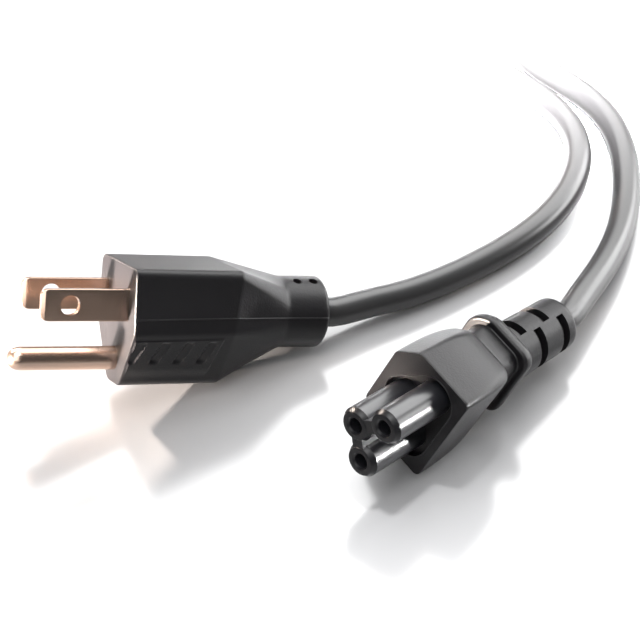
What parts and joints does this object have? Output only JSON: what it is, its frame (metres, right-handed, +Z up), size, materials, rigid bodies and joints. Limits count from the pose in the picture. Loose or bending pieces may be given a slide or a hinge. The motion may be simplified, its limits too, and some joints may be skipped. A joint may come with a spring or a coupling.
{
  "type": "cloverleaf power cord",
  "caption": "Mains lead with a moulded earthed plug, a round black cord and a cloverleaf appliance connector, its spare length in a tied coil.",
  "frame": {"origin": "on the floor under the middle of the box round the plug and the connector, cord and coil left out", "axes": "+Z up; -X towards the tips of the plug's blades; +Y away from the two ends, towards the tied coil"},
  "size_m": [0.1342, 0.2869, 0.032],
  "materials": {
    "black_pvc": "fine matt grain",
    "insert_black": "smooth satin gloss",
    "cord_pvc": "smooth satin",
    "plated_brass": "plated, lightly brushed"
  },
  "bodies": {
    "root": {"plug_body": "black_pvc", "neutral_blade": "plated_brass", "line_blade": "plated_brass", "ground_pin": "plated_brass", "connector_body": "black_pvc", "connector_insert": "insert_black", "cord_plug_side": "cord_pvc", "cord_connector_side": "cord_pvc", "cord_coil": "cord_pvc"}
  },
  "joints": []
}
